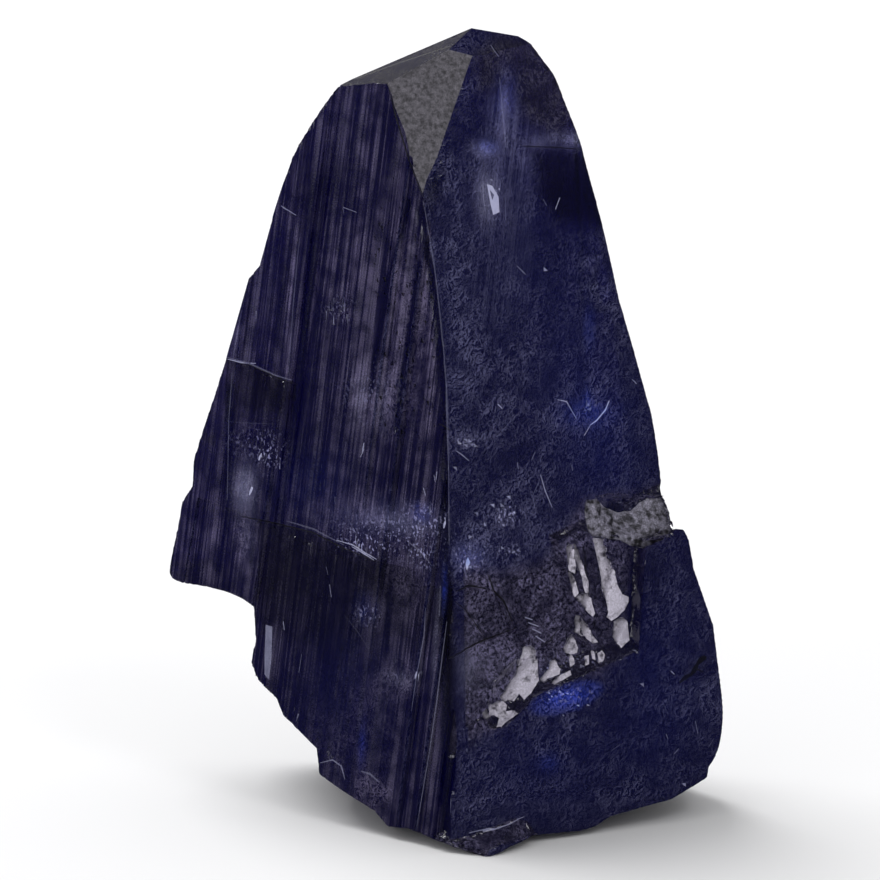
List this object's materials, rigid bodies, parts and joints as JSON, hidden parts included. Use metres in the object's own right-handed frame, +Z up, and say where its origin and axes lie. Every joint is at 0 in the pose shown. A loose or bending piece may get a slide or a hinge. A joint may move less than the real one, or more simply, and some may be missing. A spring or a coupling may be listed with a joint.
{
  "type": "rough tanzanite crystal",
  "caption": "Rough tanzanite crystal: an upright broken prism with a striated face, a frosted top facet and stepped shell-like breaks.",
  "frame": {"origin": "bottom centre of the bounding box, on the surface that the crystal stands on", "axes": "+Z up along the crystal, -Y towards the front ridge between the striated left face and the smooth right face"},
  "size_m": [0.0312, 0.0186, 0.0448],
  "materials": {
    "tanzanite": "clear blue-violet crystal, striated and partly frosted"
  },
  "bodies": {
    "root": {"crystal": "tanzanite"}
  },
  "joints": []
}
